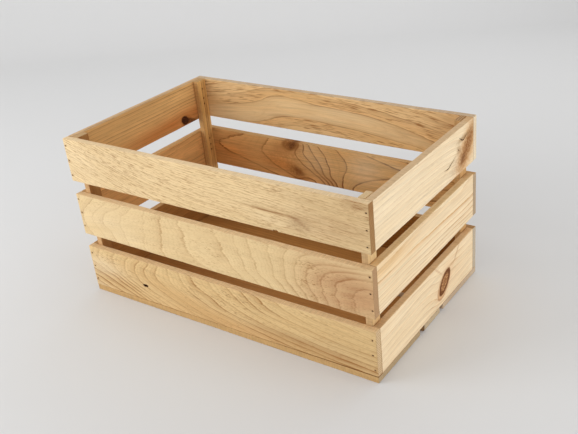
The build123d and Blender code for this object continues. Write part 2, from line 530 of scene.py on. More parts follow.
def pine(name, style, axis):
    """Bare planed pine.  The board's own attributes say where its rings, fibres and flecks run."""
    material, tree = new_material(name)
    shift = style["shift"]
    place, grain, rings, marks, shades = (
        make(tree, "Attribute", output="Vector", attribute_name=attribute)
        for attribute in ("place", "grain", "rings", "marks", "shades"))
    ring, per_mm, bold = rings.parts()
    tone, fleck_share, pit_shade = marks.parts()
    dusk, fade, _ = shades.parts()

    slow = grain.noise((60, 14, 14), 2.0, 0.5, shift)
    fine = grain.noise((9, 1.6, 1.6), 2.0, 0.6, shift + 3)
    wavy = (slow - 0.5) * style["sway"] + (fine - 0.5) * style["feather"] + ring
    late, rows = late_wood(style, grain, wavy, per_mm, bold)
    shade = wood_colour(style, grain, late, tone, fade, dusk)
    fibre = grain.noise((42, 0.75, 0.75), 4.0, 0.65, shift + 31)
    streak = grain.noise((150, 3.4, 3.4), 2.0, 0.5, shift + 47)
    depth = style["fibre"]
    light = fibre.remap(0.25, 0.75, 1 - 0.17 * depth, 1 + 0.12 * depth)
    shade = blend(1.0, shade, light + streak.remap(0.3, 0.7, -0.06 * depth, 0.06 * depth), "MULTIPLY")
    fleck = fleck_amount(style, grain, rows, fleck_share)
    shade = blend(fleck, shade, style["fleck"])

    # Sawn edges are rougher than faces, and hold more dirt
    normal = make(tree, "TexCoord", output="Normal")
    edge, end = (normal.dot(axis[way]).math("ABSOLUTE").ramp((0.45, 0.0), (0.8, 1.0))
                 for way in ("across", "along"))
    saw = place.noise((1.4, 14, 14), 2.0, 0.6, shift + 90)
    edge_shade = blend(0.3, blend(late * 0.5, style["edge"], style["late"]), shade)
    edge_shade = blend(1.0, edge_shade, saw.remap(0.3, 0.7, 0.88, 1.10), "MULTIPLY")
    faces = unshaded_outer_faces(style, place, shade) if style["outside"] else shade
    shade = blend(edge, faces, edge_shade)

    # So is the end grain, where the rings show as lines between open pores
    pores = place.noise((0.8, 0.8, 0.8), 3.0, 0.7, shift + 95)
    line = (wavy * style["end_rings"]).fract().ramp((0.0, 0.1), (0.5, 0.15), (0.9, 1.0), (1.0, 0.2))
    line = blend(line, (1.04, 1.04, 1.04, 1), style["end_line"])
    end_shade = blend(1.0, style["end"], line, "MULTIPLY")
    end_shade = blend(pores.ramp((0.35, 0.30), (0.6, 0.0)), end_shade, DIRT)
    end_shade = blend(dusk * 0.8, end_shade, style["dusk"])
    shade, knots = marked(style, place, fine, blend(end, shade, end_shade))
    # Painted shade inside holes, cracks and knot holes, where little light reaches
    shade = blend(pit_shade, shade, PIT_PAINTED_SHADE)

    height = late * 0.5 + fibre - fleck * 0.3 + pores * end * 1.5 + saw * edge * 1.2
    for knot_area in knots:
        height += knot_area * 0.8
    bump = make(tree, "Bump", {"Strength": 0.55, "Distance": 0.22 * MM, "Height": height})
    rough = (fibre * 0.20 + 0.56).math("ADD", end.math("MAXIMUM", edge) * 0.14, clamp=True)
    set_surface(tree, {"Base Color": shade, "Roughness": rough, "Specular IOR Level": 0.14, "Normal": bump})
    return material


def steel():
    """Dull steel of the brads, painted dark brown as the shade of the holes they sit in, with a trace of
    rust.
    """
    material, tree = new_material("brad_steel")
    place = make(tree, "TexCoord", output="Object").vector("MULTIPLY", (1 / MM, 1 / MM, 1 / MM))
    rust = place.noise((1.2, 1.2, 1.2), 3.0, 0.6).ramp((0.45, 0.0), (0.7, 1.0))
    set_surface(tree, {"Base Color": blend(rust, colour(74, 44, 18), colour(66, 34, 10)),
                       "Roughness": rust * 0.2 + 0.6, "Metallic": 0.1, "Specular IOR Level": 0.2})
    return material


# ------------------------------------------------------------------ how each board looks

TINTS = ("early", "late", "warm", "warm_late", "blotch", "dusk", "edge", "end", "fleck")


def look(base, **changes):
    """A look with changes to it, which give its colours as a screen shows them."""
    tints = {key: colour(*changes[key]) for key in TINTS if key in changes}
    return {**base, **changes, **tints}


def smear(at, size, angle, edge, wobble, amount, shade, mottled=0.0):
    """A coloured ellipse, a stain or, where noted, painted shade: its centre, half axes, turn, softness,
    raggedness in mm, strength and colour.
    """
    return dict(at=at, size=size, angle=angle, edge=edge, wobble=wobble, amount=amount,
                shade=colour(*shade), mottled=mottled, rings=0)


def knot(at, size, angle, edge, wobble, rings, amount=1.0, shade=(212, 160, 108), dark=(136, 84, 44),
         rim=(110, 62, 26)):
    """A knot with rings of its own inside a dark rim."""
    return {**smear(at, size, angle, edge, wobble, amount, shade), "rings": rings,
            "dark": colour(*dark), "rim": colour(*rim)}


# What every board starts from
PINE = look(
    {},
    shift=0.0,                  # sets a board's noise apart from the other boards'
    rings=None,                 # the rings' field; without one, the board is cut from a random log
    slope=[(-250, 0), (250, 0)],    # the fibres' slope in degrees, as stops along the board
    follow=False, knots=(),     # whether the rings follow the fibres, and what the fibres flow round
    sway=0.5, feather=0.16,     # how far the rings wander slowly, and how ragged they are, in rings
    line=0.3, band=1.0,         # share of a ring that darkens, and how much
    thick=1.6,                  # width of its dark line in mm
    even=0.4, contrast=0.6,     # least strength of a year, and strength of them all
    minor=4.0, minor_strength=0.12,     # fine lines in each ring
    fibre=1.0,
    flecks=0.2, fleck_level=0.60, fleck_rows=0.0, drift=0.55, tick=(7.5, 0.75, 0.75), fleck=(120, 78, 40),
    plain_inside=0.0,           # how much warmer the wood is outside the first ring, where it has flecks
    dusk=(150, 100, 54), halo=0.75,     # dirt, and painted shade where patches stand for it, and how much dirt is round a brad
    end_rings=4.0, end_line=(0.84, 0.80, 0.74, 1),
    outside=None,               # early wood's colour on the outer face, where that differs
    grow=([(0, 0)], [(0, 0)]),  # how far the lower and upper edges stand out, as (along, mm) stops
    behind=0.0,                 # a fine joint behind the board
    patches={},                 # by kind: along, across, half length, half width, turn and strength
    spots=())
PALE = look(PINE, early=(238, 214, 168), late=(172, 124, 72), warm=(226, 180, 130),
            blotch=(226, 196, 146), edge=(206, 170, 122), end=(196, 160, 116))
BROWN = look(PINE, early=(222, 182, 124), late=(146, 92, 46), warm=(200, 140, 84),
             blotch=(204, 158, 100), edge=(196, 156, 106), end=(190, 150, 104))
# The two darker looks are painted shade: the lowest boards inside the crate take darker pine for the shade
# that falls there, while their outer faces get plain pine
DARK_PAINTED_SHADE = look(BROWN, early=(190, 138, 78), late=(130, 78, 34), warm=(170, 106, 50), blotch=(174, 122, 66))
DARKER_PAINTED_SHADE = look(BROWN, early=(156, 107, 48), late=(106, 62, 22), warm=(140, 82, 34), blotch=(142, 90, 40))

# Rings of the front slats, as {ring number: places on its line}
FRONT_MIDDLE_RINGS = {
    1: [(-188, 163), (-212, 146), (-226, 130), (-214, 112), (-205, 100)],
    2: [(-164, 160), (-195, 144), (-206, 130), (-190, 112), (-184, 100)],
    3: [(-142, 163), (-158, 148), (-168, 134), (-163, 118), (-158, 100)],
    4: [(-112, 165), (-119, 148), (-121, 133), (-126, 116), (-124, 100)],
    5: [(-84, 165), (-86, 148), (-91, 133), (-95, 116), (-88, 103)],
    6: [(-50, 165), (-47, 145), (-43, 128), (-36, 113), (-12, 101)],
    7: [(14, 165), (18, 142), (24, 127), (36, 113), (52, 100)],
    8: [(44, 165), (48, 145), (53, 128), (62, 112), (76, 100)],
    9: [(66, 165), (68, 145), (73, 128), (82, 112), (96, 100)],
    10: [(102, 165), (98, 148), (101, 130), (108, 113), (120, 100)],
    11: [(132, 165), (122, 148), (121, 132), (126, 115), (140, 100)],
    12: [(158, 165), (142, 152), (136, 137), (139, 118), (152, 100)],
    13: [(250, 164), (215, 160), (184, 155), (164, 147), (155, 134), (158, 116), (168, 100)],
    14: [(250, 157), (218, 154), (192, 147), (178, 136), (176, 120), (184, 100)],
    15: [(250, 150), (225, 147), (205, 139), (197, 127), (197, 114), (202, 100)],
    16: [(250, 138), (230, 133), (221, 122), (224, 106)],
}
FRONT_BOTTOM_RINGS = {
    1: [(-250, 20), (-235, 15), (-222, 10)],
    2: [(-250, 29), (-228, 22), (-205, 15), (-190, 10)],
    3: [(-250, 40), (-230, 34), (-200, 24), (-170, 13)],
    4: [(-250, 54), (-230, 47), (-205, 37), (-175, 23), (-150, 12)],
    5: [(-224, 78), (-233, 64), (-228, 52), (-205, 41), (-175, 28), (-140, 14)],
    6: [(-195, 78), (-202, 63), (-198, 50), (-180, 37), (-150, 23), (-120, 12)],
    7: [(-166, 78), (-178, 65), (-178, 52), (-168, 38), (-140, 26), (-105, 14)],
    8: [(-143, 78), (-156, 66), (-157, 52), (-148, 41), (-128, 30), (-98, 20), (-72, 11)],
    9: [(-126, 78), (-139, 64), (-134, 50), (-115, 38), (-90, 27), (-42, 11)],
    10: [(-108, 78), (-117, 64), (-110, 51), (-92, 40), (-65, 29), (-5, 12)],
    11: [(-90, 78), (-90, 65), (-80, 50), (-62, 40), (-40, 31), (0, 21), (50, 12)],
    12: [(-68, 78), (-66, 64), (-56, 52), (-40, 43), (-15, 34), (20, 26), (110, 13)],
    13: [(-45, 78), (-42, 68), (-28, 59), (-12, 50), (10, 38), (40, 32), (90, 24), (150, 17), (220, 11)],
    14: [(-14, 78), (-5, 66), (10, 54), (34, 44), (80, 33), (130, 26), (190, 20), (250, 16)],
    15: [(16, 78), (28, 67), (45, 56), (72, 45), (120, 36), (180, 28), (250, 24)],
    16: [(40, 78), (52, 68), (67, 58), (95, 50), (150, 40), (250, 32)],
    17: [(66, 78), (80, 67), (105, 58), (150, 49), (250, 40)],
    18: [(97, 78), (120, 68), (155, 58), (250, 48)],
    19: [(132, 78), (170, 67), (250, 56)],
    20: [(182, 78), (215, 71), (250, 65)],
}
# Rings on the inner faces of the back slats
BACK_MIDDLE_RINGS = {
    1: [(-160, 165), (-182, 158), (-202, 150), (-219, 140), (-205, 129), (-172, 121), (-135, 111),
        (-95, 100)],
    2: [(-113, 165), (-120, 152), (-128, 139), (-118, 130), (-100, 117), (-80, 109), (-60, 100)],
    3: [(-50, 165), (-52, 158), (-60, 146), (-52, 136), (-45, 128), (-32, 121), (-16, 111), (-6, 102)],
    4: [(-43, 165), (-45, 150), (-37, 140), (-28, 132), (-24, 123), (-10, 113), (2, 103)],
    5: [(-32, 165), (-25, 152), (-17, 140), (-9, 127), (-6, 115), (6, 108), (10, 101)],
    6: [(-14, 165), (-3, 152), (1, 138), (6, 126), (9, 112), (17, 102)],
    7: [(20, 165), (29, 156), (38, 141), (35, 128), (30, 113), (28, 100)],
    8: [(76, 165), (105, 157), (140, 150), (172, 141), (130, 134), (95, 127), (68, 118), (46, 100)],
    9: [(140, 165), (180, 158), (230, 141), (180, 128), (120, 112), (100, 100)],
    10: [(200, 165), (245, 154), (245, 128), (180, 108)],
}
BACK_TOP_RINGS = {
    0: [(-70, 224), (0, 220), (80, 214), (-150, 206), (-220, 197)],
    1: [(-240, 206), (-223, 208), (-169, 216), (-118, 228), (-102, 237), (-73, 241), (-40, 238), (-7, 234),
        (52, 231), (93, 227), (135, 220), (177, 210), (240, 198),
        (-240, 184), (-180, 186), (-119, 193), (-94, 202), (-73, 207), (-40, 209), (-7, 208), (31, 205),
        (77, 202), (135, 195), (177, 190)],
    2: [(-240, 222), (-190, 228), (-140, 241), (-110, 250), (60, 244), (130, 234), (190, 224), (240, 212),
        (-60, 194), (60, 191)],
    3: [(-240, 240), (-200, 249), (150, 250), (240, 230)],
}
# Rings of the right slats, along Y
RIGHT_TOP_RINGS = {
    1: [(-138, 191), (-60, 190), (0, 189), (60, 186)],
    2: [(-138, 196), (-60, 195), (0, 194), (60, 190), (90, 186)],
    3: [(-138, 202), (-60, 201), (0, 200), (60, 196), (95, 190)],
    4: [(-138, 208), (-60, 207), (0, 206), (60, 202), (100, 194), (138, 187)],
    5: [(-138, 215), (-60, 214), (0, 213), (50, 210), (95, 202), (138, 194)],
    6: [(-138, 221), (-60, 221), (0, 220), (50, 217), (95, 209), (138, 201)],
    7: [(-138, 228), (-60, 228), (0, 227), (50, 225), (95, 217), (138, 208)],
    8: [(-138, 237), (-60, 237), (0, 236), (50, 234), (95, 226), (138, 216)],
    9: [(-138, 250), (-60, 250), (0, 248), (50, 244), (80, 240), (100, 233), (138, 226)],
    10: [(30, 254), (80, 250), (110, 243), (138, 236)],
}
RIGHT_MIDDLE_RINGS = {
    0: [(-138, 102), (0, 99), (138, 96)],
    1: [(-138, 105), (0, 102.5), (138, 99.5)],
    2: [(-138, 109), (0, 106.5), (138, 103.5)],
    3: [(-138, 115), (0, 113), (138, 110.5)],
    4: [(-138, 122), (0, 120.5), (138, 118)],
    5: [(-138, 130.5), (0, 129.5), (138, 127)],
    6: [(-138, 143), (-60, 141.5), (0, 139.5), (70, 137.5), (138, 136.5)],
    7: [(-138, 158), (-60, 162), (0, 166), (138, 170)],
}
RIGHT_BOTTOM_RINGS = {
    1: [(-138, 14), (-40, 15), (10, 13), (60, 8)],
    2: [(-138, 24), (-60, 27), (-10, 25), (20, 17), (60, 12), (138, 14)],
    3: [(-138, 33), (-60, 38), (-15, 37), (12, 31), (25, 22), (75, 20), (138, 24)],
    4: [(-138, 42), (-98, 46), (-50, 50), (-15, 48), (12, 42), (70, 33), (100, 34), (138, 35)],
    5: [(-138, 57), (-80, 59), (-20, 62), (5, 59), (22, 53), (72, 48), (100, 46), (138, 46)],
    6: [(-138, 71), (-60, 73), (-10, 72), (15, 66), (32, 61), (60, 61), (85, 58), (138, 56)],
    7: [(0, 82), (30, 74), (55, 70), (80, 69), (138, 67)],
}

LOOKS = {
    "front_slat_top": look(
        PALE, shift=1.0, flecks=0.55, fleck=(150, 96, 44), tick=(9, 0.6, 0.6), drift=0.3,
        fleck_level=0.575, fleck_rows=0.06, line=0.34, contrast=0.34, sway=1.2, minor=2.0,
        minor_strength=0.2, follow=True, fibre=0.6, early=(245, 217, 168),
        rings=log_rings((40, 260), (0.0, 0.02), 5.2), edge=(236, 208, 166),
        slope=[(-250, -17), (-150, -15), (-60, -7), (20, -3), (250, -3)], end=(180, 143, 97),
        end_rings=1.0,
        patches=dict(
            dusk=[(236, 248, 30, 9, -22, 0.5), (110, 213, 34, 1.5, -2, 1.5),
                  (146, 210, 11, 1.6, -22, 0.9), (159, 203, 9, 1.6, -42, 0.5), (60, 197, 90, 5, -6, 0.14),
                  (215, 218, 66, 50, 0, 0.5), (130, 230, 60, 30, 0, 0.06)],
            fade=[(-200, 215, 90, 34, 0, 0.3), (110, 200, 34, 9, 0, 0.25)],
            fleck=[(-150, 230, 90, 26, -15, 0.3), (228, 246, 26, 9, -16, 0.6)]),
        spots=[
            smear((151, 203), (14, 10), 0, 0.9, 9, 0.55, (164, 128, 92), mottled=0.5)]),
    "front_slat_middle": look(
        PALE, shift=2.0, flecks=0.3, fleck=(156, 106, 54), tick=(4.5, 0.8, 0.8), line=0.46, contrast=0.62,
        sway=0.6, feather=0.3, fibre=0.45, minor=5.0, minor_strength=0.16, even=0.3, thick=4.6,
        early=(241, 214, 164), warm=(204, 155, 112), warm_late=(156, 98, 58), edge=(232, 198, 152),
        grow=([(-250, 0.3), (250, 2.8)], [(-250, 0.2), (250, 0.4)]),
        rings=drawn_rings(FRONT_MIDDLE_RINGS), slope=[(-250, 10), (0, 0), (250, 6)], end=(192, 155, 116),
        end_rings=3.0,
        patches=dict(
            tone=[(240, 120, 52, 36, 0, 0.95), (176, 130, 44, 44, 0, 0.5)],
            bold=[(-88, 134, 9, 44, 0, 0.75), (-45, 140, 9, 44, 0, 0.4), (18, 138, 10, 44, -20, 0.5),
                  (165, 130, 36, 44, 0, 0.7), (215, 130, 24, 26, 0, 0.9)],
            fleck=[(158, 132, 18, 30, 0, 0.8), (0, 130, 22, 30, 0, 0.3), (195, 120, 30, 30, 0, 0.5)],
            fade=[(-190, 128, 70, 34, 0, 0.3)])),
    "front_slat_bottom": look(
        PALE, shift=3.0, flecks=0.4, fleck=(146, 96, 46), tick=(6, 0.8, 0.8), line=0.4, contrast=0.8,
        sway=0.45, minor=3.0, minor_strength=0.22, even=0.35, thick=3.2, fibre=0.7, feather=0.2,
        early=(236, 206, 152), late=(164, 112, 58), blotch=(222, 186, 130), warm=(218, 168, 110),
        edge=(232, 198, 152), rings=drawn_rings(FRONT_BOTTOM_RINGS),
        slope=[(-250, -8), (0, -6), (250, -2)], end=(232, 204, 162), end_rings=2.2,
        end_line=(0.6, 0.5, 0.4, 1),
        patches=dict(
            tone=[(60, 14, 170, 12, 0, 0.5), (-60, 32, 80, 12, -12, 0.5)],
            bold=[(-215, 26, 60, 18, -15, 1.4), (-150, 62, 60, 22, 0, 0.35), (-44, 60, 10, 24, 30, 0.9),
                  (-10, 44, 26, 10, -30, 0.9), (170, 16, 100, 9, -2, 1.2), (60, 70, 34, 18, 0, 0.6)],
            dusk=[(140, 24, 90, 8, -4, 0.55), (215, 50, 50, 40, 0, 0.12), (-60, 26, 60, 8, -12, 0.18)],
            fade=[(-230, 50, 46, 16, 0, 0.6), (-240, 10, 60, 8, -10, 0.3)],
            fleck=[(20, 62, 60, 20, 0, 0.5), (-200, 60, 40, 14, 0, 0.3)]),
        spots=[
            # The two thin dark smears along the bottom edge are painted shade in the joint with the floor
            # board
            smear((225, 9.4), (130, 1.4), 0, 0.6, 0.4, 0.95, (118, 74, 32)),
            smear((-60, 9.3), (200, 0.8), 0, 0.8, 0.5, 0.5, (150, 104, 56))]),
    "right_slat_top": look(
        PALE, shift=4.0, flecks=0.12, contrast=0.5, sway=0.25, minor=3.0, minor_strength=0.1,
        early=(252, 232, 197), blotch=(243, 216, 174), late=(204, 152, 92), edge=(192, 154, 110),
        rings=drawn_rings(RIGHT_TOP_RINGS), slope=[(-138, 0), (40, -3), (138, -12)], dusk=(150, 98, 44),
        patches=dict(
            dusk=[(134, 230, 14, 14, 60, 0.45)],
            tone=[(112, 214, 40, 20, 47, 0.35)]),
        spots=[
            smear((117, 216), (42, 20), 48, 0.6, 14, 0.9, (212, 158, 98), mottled=0.3),
            smear((110, 211), (24, 12), 42, 0.7, 10, 0.9, (148, 92, 38), mottled=0.6),
            smear((124, 226), (22, 10), 55, 0.7, 10, 0.9, (138, 84, 34), mottled=0.6),
            smear((106, 235), (18, 3), 5, 0.9, 5, 0.7, (150, 112, 66)),
            smear((90, 222), (5, 6), 60, 0.9, 5, 0.6, (160, 122, 78)),
            smear((64, 211), (20, 2.2), 20, 0.9, 5, 0.3, (164, 128, 80)),
            smear((103, 205), (8, 5), 40, 0.8, 8, 0.7, (112, 64, 24)),
            smear((82, 203), (26, 9), 34, 0.9, 10, 0.45, (176, 132, 92), mottled=0.9)]),
    "right_slat_middle": look(
        PALE, shift=5.0, flecks=0.04, line=0.42, contrast=0.85, sway=0.15, minor=2.0, minor_strength=0.08,
        even=0.7, early=(254, 234, 198), blotch=(245, 217, 174), late=(204, 150, 88),
        warm=(240, 198, 138), rings=drawn_rings(RIGHT_MIDDLE_RINGS), edge=(212, 172, 112),
        grow=([(-138, 2.0), (0, 1.4), (138, 0.5)], [(-138, 0.7), (138, 1.8)]),
        patches=dict(
            tone=[(-110, 154, 70, 10, 0, 0.8)],
            bold=[(0, 140, 200, 4, -1.5, 1.1), (110, 118, 60, 14, 0, 0.3)])),
    "right_slat_bottom": look(
        PALE, shift=6.0, flecks=0.1, contrast=0.55, sway=0.3, minor=3.0,
        early=(252, 230, 193), blotch=(243, 215, 172), late=(204, 150, 90),
        rings=drawn_rings(RIGHT_BOTTOM_RINGS), slope=[(-138, 2), (0, 0), (138, 0)],
        grow=([(0, 0)], [(-138, -0.5), (138, 0.8)]), edge=(212, 166, 110),
        patches=dict(
            bold=[(5, 26, 26, 18, -40, 0.8), (84, 64, 26, 14, 40, 1.1)],
            tone=[(80, 34, 40, 20, 0, 0.22)]),
        spots=[
            smear((42, 41), (32, 19), 44, 0.35, 5, 0.4, (232, 188, 142)),
            smear((39.9, 38.9), (25, 14.8), 44, 0.07, 3, 0.75, (166, 110, 66)),
            smear((40.5, 39.5), (23.2, 13.4), 44, 0.08, 3, 0.9, (228, 184, 136)),
            knot((42, 41), (21.5, 12), 44, 0.07, 3.0, 2.0),
            smear((68, 59), (10, 1.5), 5, 0.9, 2, 0.6, (190, 142, 96)),
            smear((81, 68), (14, 1.7), 47, 0.9, 2, 0.6, (190, 142, 96)),
            smear((23, 68), (13, 1.4), -42, 0.9, 2, 0.45, (202, 152, 106))]),
    "back_slat_top": look(
        BROWN, shift=7.0, flecks=0.85, line=0.36, sway=0.3, plain_inside=0.75, even=0.8,
        early=(250, 219, 166), late=(160, 104, 50), fleck=(158, 102, 48), fleck_level=0.57,
        tick=(22, 1.1, 1.1), warm=(238, 186, 118), warm_late=(150, 96, 44), feather=0.1,
        blotch=(238, 198, 138), edge=(188, 168, 146), thick=2.6, rings=drawn_rings(BACK_TOP_RINGS, 0.35),
        slope=[(-240, 8), (-60, 3), (60, -4), (240, -8)], end=(252, 236, 206),
        patches=dict(
            # The first darker patch, in the left corner, is painted shade beside the post
            dusk=[(-229, 222, 12, 16, 40, 0.25), (216, 232, 34, 24, 0, 0.45)],
            fade=[(0, 220, 170, 14, 0, 0.22), (-190, 205, 50, 20, 0, 0.25)],
            bold=[(-150, 222, 70, 12, 20, 1.0), (140, 218, 70, 12, -14, 0.8), (-20, 236, 60, 10, 0, 0.5),
                  (-74, 207, 26, 4, 0, 1.0), (60, 203, 60, 5, -4, 0.7)])),
    "back_slat_middle": look(
        BROWN, shift=8.0, flecks=0.12, line=0.34, contrast=1.15, sway=0.06, even=0.75, feather=0.08,
        band=0.42, fibre=1.6, thick=3.0, early=(234, 190, 126), blotch=(214, 164, 104),
        rings=drawn_rings(BACK_MIDDLE_RINGS, 0.6), minor_strength=0.1, late=(112, 52, 8),
        warm=(228, 146, 70), warm_late=(146, 80, 26), slope=[(-240, 0), (240, 0)], end=(200, 180, 152),
        edge=(202, 160, 108),
        patches=dict(
            tone=[(-190, 120, 60, 40, 0, 0.85), (-60, 112, 60, 14, -15, 0.5),
                  (-95, 130, 34, 30, 20, 0.5)],
            fade=[(-20, 140, 36, 26, -50, 0.3), (70, 140, 34, 30, 0, 0.42),
                  (150, 148, 46, 10, -15, 0.35)],
            bold=[(-15, 132, 34, 22, -60, 0.7), (20, 106, 24, 9, 0, 1.0), (-205, 142, 24, 12, 20, 0.8)],
            dusk=[(4, 106, 30, 9, -30, 0.45), (-200, 104, 60, 8, 0, 0.3), (200, 130, 60, 60, 0, 0.45)]),
        spots=[
            smear((-80, 136), (38, 24), 10, 0.8, 12, 0.35, (160, 104, 54), mottled=0.9),
            smear((-72, 156), (26, 13), 14, 0.7, 10, 0.55, (176, 120, 66)),
            knot((-68, 160), (17, 10), 15, 0.3, 7, 1.6, amount=0.85, shade=(176, 120, 66),
                 dark=(128, 78, 36), rim=(146, 96, 48)),
            smear((-64, 159), (9, 4.5), 40, 0.6, 6, 0.8, (92, 50, 20), mottled=0.4),
            smear((-60, 112), (17, 10), -20, 0.8, 9, 0.8, (144, 88, 40), mottled=0.4),
            smear((-57, 115), (9, 5), -30, 0.8, 6, 0.6, (110, 62, 26))]),
    "left_slat_top": look(
        BROWN, early=(249, 202, 134), shift=9.0, flecks=0.12, line=0.34, contrast=0.8, sway=0.2,
        follow=True, minor_strength=0.18, rings=log_rings((130, -20), (0.0, 0.0), 5.4),
        warm=(216, 130, 62), edge=(202, 173, 138), knots=[((88, 194), (13, 9), 0)],
        patches=dict(
            tone=[(50, 196, 150, 17, 2, 0.95)],
            dusk=[(108, 191, 26, 9, -20, 0.4)]),
        spots=[
            smear((90, 194), (17, 13), -20, 0.4, 5, 0.5, (218, 150, 86)),
            smear((89, 194), (13, 10), -20, 0.3, 5, 0.6, (168, 96, 44), mottled=0.4),
            knot((87, 195), (8.5, 7), -30, 0.25, 5, 1.2, shade=(110, 58, 24), dark=(58, 26, 8),
                 rim=(52, 22, 6)),
            smear((101, 190), (15, 4.2), -24, 0.5, 5, 0.9, (78, 40, 16), mottled=0.3)]),
    "left_slat_middle": look(
        BROWN, shift=20.0, contrast=0.7, early=(249, 192, 124)),
    "left_slat_bottom": look(
        DARK_PAINTED_SHADE, shift=22.0, contrast=0.8),
    "back_slat_bottom": look(
        DARKER_PAINTED_SHADE, shift=21.0, flecks=0.3, contrast=0.95, end=(206, 192, 170)),
    "post_back_left": look(
        BROWN, shift=23.0, flecks=0.3, line=0.34, contrast=0.85, sway=0.3, minor_strength=0.25,
        early=(255, 206, 128), late=(146, 88, 40), end=(196, 156, 106), halo=1.0,
        rings=log_rings((128, -14), (0.01, 0.0), 3.6), behind=0.35),
    "post_back_right": look(
        BROWN, shift=24.0, flecks=0.3, line=0.34, contrast=0.8, early=(222, 180, 122),
        end=(196, 156, 110), end_rings=1.0, end_line=(0.36, 0.26, 0.18, 1),
        rings=log_rings((128, 90), (0.0, 0.0), 3.4), behind=0.6),
    # Its faces are painted dark: painted shade of the front left corner inside the crate; its top edge
    # stays pale
    "post_front_left": look(
        BROWN, shift=25.0, flecks=0.3, line=0.34, early=(150, 98, 50), edge=(230, 192, 142),
        end=(206, 172, 126), behind=0.35),
    "post_front_right": look(
        BROWN, shift=26.0, contrast=0.4, early=(240, 208, 154), edge=(204, 170, 126), end=(226, 196, 150),
        behind=0.7),
    # The floor boards' darker patches are painted shade: the shade inside the crate on the front and back
    # boards, and the shadow in the floor gap at the middle board's right end
    "floor_board_front": look(
        DARK_PAINTED_SHADE, shift=27.0, contrast=0.5, end=(190, 166, 130), edge=(214, 180, 126), dusk=(120, 66, 22),
        patches=dict(
            dusk=[(-150, -60, 110, 60, 0, 0.6)])),
    "floor_board_middle": look(
        DARK_PAINTED_SHADE, shift=28.0, contrast=0.5, end=(206, 186, 154), early=(176, 124, 64), blotch=(160, 108, 54),
        dusk=(70, 42, 20),
        patches=dict(
            dusk=[(250, -26, 12, 3, 0, 2.0)])),
    "floor_board_back": look(
        DARK_PAINTED_SHADE, shift=29.0, contrast=0.5, end=(250, 234, 206), early=(198, 144, 80), edge=(222, 206, 182),
        dusk=(132, 82, 34),
        patches=dict(
            dusk=[(210, 80, 120, 110, 0, 0.7)])),
}


# ------------------------------------------------------------------ the boards

SHORT_WALL_TRIM = 0.35      # fine joints at the ends of the short walls' slats
OUTER_EARLY = colour(240, 210, 160)     # early wood on the outer faces of the boards seen from inside, free of the inside's painted shade
SLOPE_REACH = 300.0     # the fibres' slope is followed this far to either side
PIT_START = 0.45        # a hole's wall begins to take painted shade this far inside the plank
PIT_BLEND = 0.3         # and is dark this much further in
FLECKS_FROM = 0.90      # on boards that are plain inside, the flecks begin at this ring's line
FLECKS_BLEND = 0.20
# For each wall's slats: the axes along and across them, and the way their better face looks
FACES = {"front": ("x", "z", -1), "back": ("x", "z", -1), "left": ("y", "z", 1), "right": ("y", "z", 1)}
DAMAGE = {
    "front_slat_bottom": lambda rng: [(ellipse((-142, 36), (5.6, 2.5), 2, 14, 0.12, rng), 8.0)],
    "front_slat_top": lambda rng: [(ellipse((114.5, 186.2), (4.6, 2.2), 0, 12, 0.12, rng), 3.0)],
    "right_slat_top": lambda rng: [
        (crack([(44, 209.5), (51, 208.6), (57, 208), (64, 210.5), (72, 213.5), (80, 217)], 1.5), 3.0),
        (crack([(86, 226), (89, 222), (92, 219.5)], 1.2), 2.5),
        (crack([(90, 239.5), (96, 235.5), (101, 232), (106, 231.6), (112, 234.5), (118, 239)], 1.8), 3.5)],
}


def board_of(node, outward=False):
    """The board that stands for a CAD node, seen on its better face or on the one its brads go in by."""
    if node.startswith("floor"):
        along, across, face = "x", "y", 1
    elif node.startswith("post"):
        along, across, face = "z", "y", 1 if node.endswith("left") else -1
    else:
        along, across, face = FACES[node.split("_")[0]]
    if outward and node.startswith(("back", "floor")):
        face = -face
    return Board(node, along, across, face)


def holes_of(node, cutter):
    """Adds the holes over a board's brads to a bmesh of cutters, and gives their places."""
    if node.startswith(("front_slat", "back_slat")):
        source = node.split("_")[0] + "_wall_brads"
    elif node.startswith("post"):
        source = node.split("_")[-1] + "_post_brads"
    elif node.startswith("floor"):
        source = "floor_brads"
    else:
        return []
    outer = board_of(node, outward=True)
    places = brad_places(outer, source)
    for place in places:
        radii = (HOLE_R * outer.rng.uniform(0.95, 1.25), HOLE_R * outer.rng.uniform(0.9, 1.05))
        prism(cutter, outer, ellipse(place, radii, points=10, rough=0.08, rng=outer.rng), HOLE_DEPTH, 1.0)
    return places


def cut_board(board, grow):
    """The board's object, with its holes and damage cut out, and the places of its brads."""
    name = board.node + "_wood"
    points, quads = plank_points(board, *grow)
    mesh = bpy.data.meshes.new(name)
    mesh.from_pydata((points * MM).tolist(), [], quads.tolist())
    wood = bpy.data.objects.new(name, mesh)
    bpy.context.scene.collection.objects.link(wood)
    cutter = bmesh.new()
    nails = holes_of(board.node, cutter)
    for outline, depth in DAMAGE.get(board.node, lambda rng: [])(board.rng):
        prism(cutter, board, outline, depth)
    if cutter.verts:
        cut(wood, cutter)
    cutter.free()
    wood.data.name = name
    return wood, nails


def log_of(board):
    """Rings of a random log that the board might be cut from."""
    middle = (board.low + board.high) / 2
    pith = (middle[board.across] + board.rng.uniform(-60, 60), board.rng.uniform(25, 60))
    tilt = (board.rng.uniform(-0.05, 0.05), board.rng.uniform(-0.03, 0.03))
    return log_rings(pith, tilt, board.rng.uniform(3.6, 5.5))


